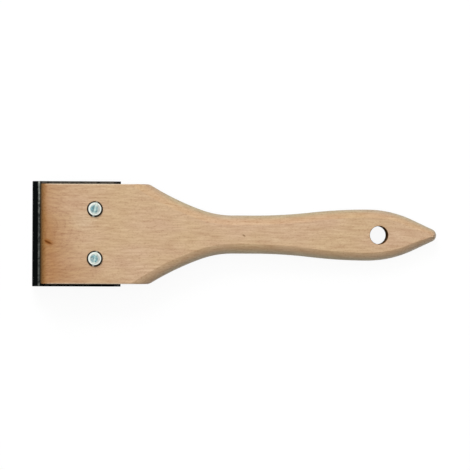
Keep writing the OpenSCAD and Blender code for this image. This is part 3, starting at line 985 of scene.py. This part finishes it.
# Darker patches of the same passivation, a millimetre or so across, lie in the blue.
blotch = add(tree, "Mapping", {"Vector": place, "Location": (3.0, 1.5, 0.0), "Scale": (0.75, 0.75, 0.2)})
blotch = add(tree, "TexNoise", {"Vector": blotch, "Scale": 1.0, "Detail": 1.0})
blotch = add(tree, "MapRange", [blotch, 0.47, 0.62, 0.0, 0.6])
for mask in (painted_reflection_blue, half_blue):
    blue = add(tree, "Math", [blue, mask], operation="MULTIPLY")
    blotch = add(tree, "Math", [blotch, mask], operation="MULTIPLY")
# The near-white rim and the teal middle are passivation and painted reflection together.
plating = add(tree, "Mix", [blue, colour("#f0f6ee"), colour("#8cd4e0")], data_type="RGBA")
plating = add(tree, "Mix", [blotch, plating, colour("#5d8e98")], data_type="RGBA")
print("plating:", len(tree.nodes), "nodes")

# %% Painted shade and grime round the heads
# A dark ring of painted shade with some grime lies round the rim of each head. It is widest
# on the side towards the tail and the near edge, where the head's shadow falls, and fainter
# in the slot's ends, which catch the light.
shadow_side = add(tree, "VectorMath", [around, (0.035, -0.035, 0)], operation="DOT_PRODUCT")
towards_rim = add(tree, "Math", [from_axis, shadow_side], operation="ADD")
rim_shade_and_grime = add(tree, "MapRange", [towards_rim, 3.7, 4.05], **SMOOTH)
out_of_slot = add(tree, "Math", [in_slot, -0.45, 1.0], operation="MULTIPLY_ADD")
on_head = add(tree, "Math", [up, seat_floor - 0.2], operation="GREATER_THAN")
on_head = add(tree, "Math", [on_head, out_of_slot], operation="MULTIPLY")
rim_shade_and_grime = add(tree, "Math", [rim_shade_and_grime, on_head], operation="MULTIPLY")
rim_shaded_plating = add(tree, "Mix", [rim_shade_and_grime, plating, colour("#2e2b25")], data_type="RGBA")
# The painted shade and grime, and the milled floor, are rougher than the plating.
zinc_rough = add(tree, "MapRange", [clouds, 0.0, 1.0, 0.12, 0.34])
uneven = add(tree, "Math", [rim_shade_and_grime, in_slot], operation="MAXIMUM")
zinc_rough = add(tree, "Math", [uneven, 0.35, zinc_rough], operation="MULTIPLY_ADD")
shader = add(tree, "BsdfPrincipled", {"Base Color": rim_shaded_plating, "Metallic": 1.0, "Roughness": zinc_rough})
add(tree, "OutputMaterial", {"Surface": shader})
print("zinc plate:", len(tree.nodes), "nodes")

# %% [markdown]
# ## Screws, washers and nuts
#
# The screws are slotted pan heads with an M5 thread. A Screw modifier would sweep a
# profile and leave its ends to be closed by hand. A thread can also be seen as a solid of
# revolution whose radius depends on the height less the turn. So one formula gives the
# screw and, with a little play, the inside of its nut.

# %% Thread
SCREW_RADIUS = 2.5
THREAD_PITCH = 0.8
THREAD_DEPTH = 0.49
THREAD_PLAY = 0.05
THREAD_STEP = 0.1
CREST_FLAT = 0.125
ROOT_FLAT = 0.25


def thread_radius(height, steps):
    """Radius at each height and direction. The phase is the height in pitches less the turn;
    a flat crest, a flank, a flat root and the other flank follow one another. The crest
    takes an eighth of the pitch and the root a quarter."""
    around = np.linspace(0, 1, steps, endpoint=False)
    phase = (np.asarray(height)[:, None] / THREAD_PITCH - around) % 1
    level = np.clip((np.abs(2 * phase - 1) - ROOT_FLAT) / (1 - ROOT_FLAT - CREST_FLAT), 0, 1)
    return SCREW_RADIUS - THREAD_DEPTH * (1 - level)


print("thread radii in mm:", thread_radius([0.0, 0.2, 0.4], 1)[:, 0].round(2))

# %% Screws
SCREW_STEPS = 72
THREAD_TOP = 12.2
THREAD_FADE = 1.2
END_RADIUS = 2.0
HEAD_SIDE = 1.2
HEAD_CROWN = 0.12
SLOT_BURR = 0.12
BURR_DEPTH = 0.15
SLOT_CORNER = 0.12
SLOT_REACH = 6.0


def screw_mesh(centre):
    """Thread, shank and head as one surface of revolution. The thread fades out below the
    head, its end is chamfered, and the head's flat top is very slightly crowned."""
    thread = np.arange(screw_end, THREAD_TOP, THREAD_STEP)
    fading = np.clip((THREAD_TOP - thread) / THREAD_FADE, 0, 1)[:, None]
    radius = SCREW_RADIUS - (SCREW_RADIUS - thread_radius(thread, SCREW_STEPS)) * fading
    radius = np.minimum(radius, END_RADIUS + (thread - screw_end)[:, None])
    # The head: a flat underside, a broken edge, a rounded rim and the crown.
    broken = np.array([0.15, 0.04, 0])
    rim = HEAD_HEIGHT - HEAD_SIDE
    a = np.linspace(0, np.pi / 2, 14)
    flat = HEAD_RADIUS - rim
    top = np.linspace(flat, 0.1, 8)[1:]
    head_r = np.concatenate([[SCREW_RADIUS], HEAD_RADIUS - broken, HEAD_RADIUS - rim * (1 - np.cos(a)), top])
    head_z = np.concatenate([[seat_floor], seat_floor + broken[::-1],
                             head_top - rim + (rim - HEAD_CROWN) * np.sin(a),
                             head_top - HEAD_CROWN * (top / flat) ** 2])
    radii = np.concatenate([radius, np.repeat(head_r[:, None], SCREW_STEPS, 1)])
    return turned("slotted_screw", radii, np.concatenate([thread, head_z]), centre, SCREW_STEPS)


def slot_cutter(centre):
    """A bar across the head, as wide as the slot, a little wider at the head's surface, where
    the screwdriver has burred it, and with small radii in its two bottom corners."""
    half, low, high = SLOT_WIDTH / 2, head_top - SLOT_DEPTH, head_top + 0.02
    wide = half + SLOT_BURR
    section = rounded([(wide, high + 1, 0), (-wide, high + 1, 0), (-wide, high, 0),
                       (-half, high - BURR_DEPTH, 0), (-half, low, SLOT_CORNER), (half, low, SLOT_CORNER),
                       (half, high - BURR_DEPTH, 0), (wide, high, 0)])
    ends = np.array([SLOT_REACH, -SLOT_REACH])[:, None, None]
    flat = section[None, :, :1] * slot_across + ends * slot_along + np.asarray(centre)
    points = np.concatenate([flat, np.broadcast_to(section[None, :, 1:], flat.shape[:2] + (1,))], -1)
    return tube("slot", points)


for number, centre in enumerate(screw_centres, 1):
    mesh = cut(screw_mesh(centre), [slot_cutter(centre)])
    piece(f"slotted_screw_{number}", mesh, "slotted_screws", zinc)

# %% Washers
WASHER_RADIUS = 5.0

# Stamping draws in one outer edge of a washer by 0.3 mm and leaves the others crisp.
washer_outline = rounded([(WASHER_RADIUS, nut_top, 0.12), (WASHER_RADIUS, plate_bottom, 0.3),
                          (SCREW_HOLE_RADIUS, plate_bottom, 0.12), (SCREW_HOLE_RADIUS, nut_top, 0.12)])
for number, centre in enumerate(screw_centres, 1):
    mesh = turned("washer", *washer_outline.T, centre, looped=True)
    piece(f"washer_{number}", mesh, "washers", zinc)

# %% Nuts
NUT_FLAT = 4.0
NUT_FACE = 3.85
NUT_CHAMFER = 0.5
NUT_MOUTH = 2.8


def nut_mesh(centre, steps=96):
    """A ring of rows: the lower face, the six flats, the upper face and the threaded bore.
    The flats' radius is their distance over the cosine of the turn from the nearest flat's
    middle, and a cone takes more height off the nearer it gets to the corners."""
    around = np.linspace(0, 2 * np.pi, steps, endpoint=False)
    flats = NUT_FLAT / np.cos((around % (np.pi / 3)) - np.pi / 6)
    corner = NUT_FLAT / math.cos(np.pi / 6)
    taken = NUT_CHAMFER * (flats - NUT_FLAT) / (corner - NUT_FLAT)
    bore = np.arange(nut_top - 0.05, nut_bottom + 0.02, -THREAD_STEP)
    mouth = NUT_MOUTH - np.minimum(nut_top - bore, bore - nut_bottom)
    bore_radius = np.maximum(thread_radius(bore, steps) + THREAD_PLAY, mouth[:, None])
    level = np.ones(steps)
    radii = np.concatenate([[NUT_FACE * level, flats, flats, NUT_FACE * level, NUT_MOUTH * level],
                            bore_radius, [NUT_MOUTH * level]])
    rows = [nut_bottom * level, nut_bottom + taken, nut_top - taken, nut_top * level, nut_top * level]
    heights = np.concatenate([rows, np.repeat(bore[:, None], steps, 1), [nut_bottom * level]])
    return turned("hex_nut", radii, heights, centre, steps, looped=True)


for number, centre in enumerate(screw_centres, 1):
    piece(f"hex_nut_{number}", nut_mesh(centre), "hex_nuts", zinc)
